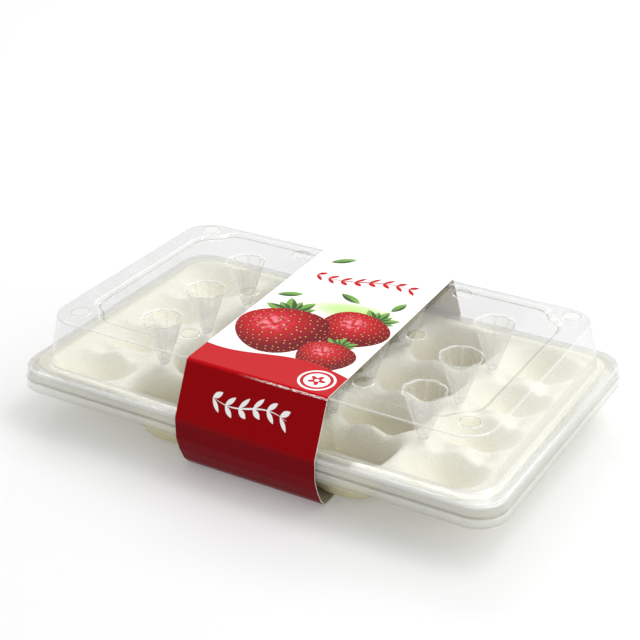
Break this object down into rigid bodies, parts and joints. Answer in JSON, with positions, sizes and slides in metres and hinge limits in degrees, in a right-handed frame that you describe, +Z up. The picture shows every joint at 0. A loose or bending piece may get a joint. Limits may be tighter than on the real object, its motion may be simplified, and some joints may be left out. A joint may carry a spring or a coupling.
{
  "type": "berry clamshell pack with tray and sleeve",
  "caption": "Shut clear clamshell pack for large berries: fluted cones hang from the vented lid over a white tray of moulded wells, and a printed card sleeve holds it together.",
  "frame": {"origin": "centre of the bounding box at its bottom, on the sleeve's flat underside", "axes": "+X along the long side, +Z up, -Y the front where the sleeve's red panel faces"},
  "size_m": [0.3018, 0.1894, 0.064],
  "materials": {
    "clear_sheet": "clear glossy thermoformed sheet",
    "tray_foam": "cream white moulded foam with a fine pebbled skin",
    "sleeve_card": "coated card, printed red and white, satin"
  },
  "bodies": {
    "root": {"lid": "clear_sheet", "base": "clear_sheet", "tray": "tray_foam", "sleeve": "sleeve_card"}
  },
  "joints": []
}
